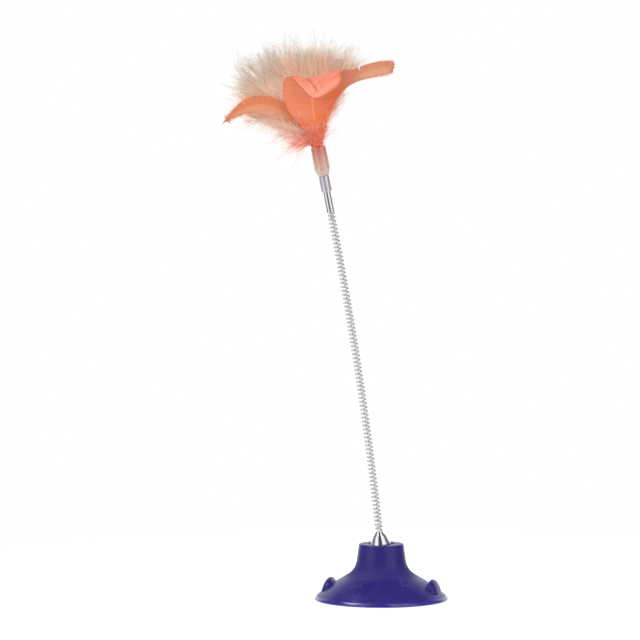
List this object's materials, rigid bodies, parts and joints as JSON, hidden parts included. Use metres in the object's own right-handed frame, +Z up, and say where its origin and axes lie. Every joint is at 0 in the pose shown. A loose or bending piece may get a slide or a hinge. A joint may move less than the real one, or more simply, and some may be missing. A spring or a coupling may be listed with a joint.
{
  "type": "suction cup cat toy",
  "caption": "Bunch of soft feathers on a long bending coil spring that stands on a suction cup, for a cat to bat at.",
  "frame": {"origin": "on the suction cup's axis, on the surface that the cup stands on", "axes": "+Z up out of the cup, +X to the viewer's right, -Y towards the viewer; the spring leans to -X"},
  "size_m": [0.1524, 0.09, 0.3775],
  "materials": {
    "cup_vinyl": "soft glossy violet-blue vinyl",
    "stud_steel": "plain steel thread",
    "cone_chrome": "turned and polished",
    "spring_steel": "bright drawn wire",
    "sleeve_steel": "polished",
    "ferrule_aluminium": "finely knurled",
    "tube_vinyl": "clear shrunk vinyl",
    "glue": "set hot glue",
    "front_feather": "soft feather vane",
    "side_feather": "soft feather vane",
    "plume_down": "loose down",
    "lower_down": "loose down"
  },
  "bodies": {
    "base": {"suction_cup": "cup_vinyl", "neck_stud": "stud_steel", "cone": "cone_chrome"},
    "spring": {"spring": "spring_steel"},
    "head": {"sleeve": "sleeve_steel", "ferrule": "ferrule_aluminium", "feather_tube": "tube_vinyl", "glue_plug": "glue", "front_feather": "front_feather", "left_feather": "side_feather", "right_feather": "side_feather", "plume_left": "plume_down", "plume_upper_left": "plume_down", "plume_centre": "plume_down", "plume_upper_right": "plume_down", "plume_lower": "lower_down"}
  },
  "joints": [
    {"name": "side_sway", "type": "hinge", "parent": "base", "child": "spring", "pos_m": [-0.00802, 0, 0.10075], "axis": [0, 1, 0], "range_deg": [-85, 85], "stiffness_Nm_per_rad": 0.15, "springref_deg": 2.86, "deforming": ["spring"]},
    {"name": "fore_aft_sway", "type": "hinge", "parent": "spring", "child": "head", "pos_m": [-0.02427, 0, 0.2082], "axis": [0.9854, 0, 0.1702], "range_deg": [-80, 80], "stiffness_Nm_per_rad": 0.1, "springref_deg": 0.92, "deforming": ["spring"]}
  ]
}
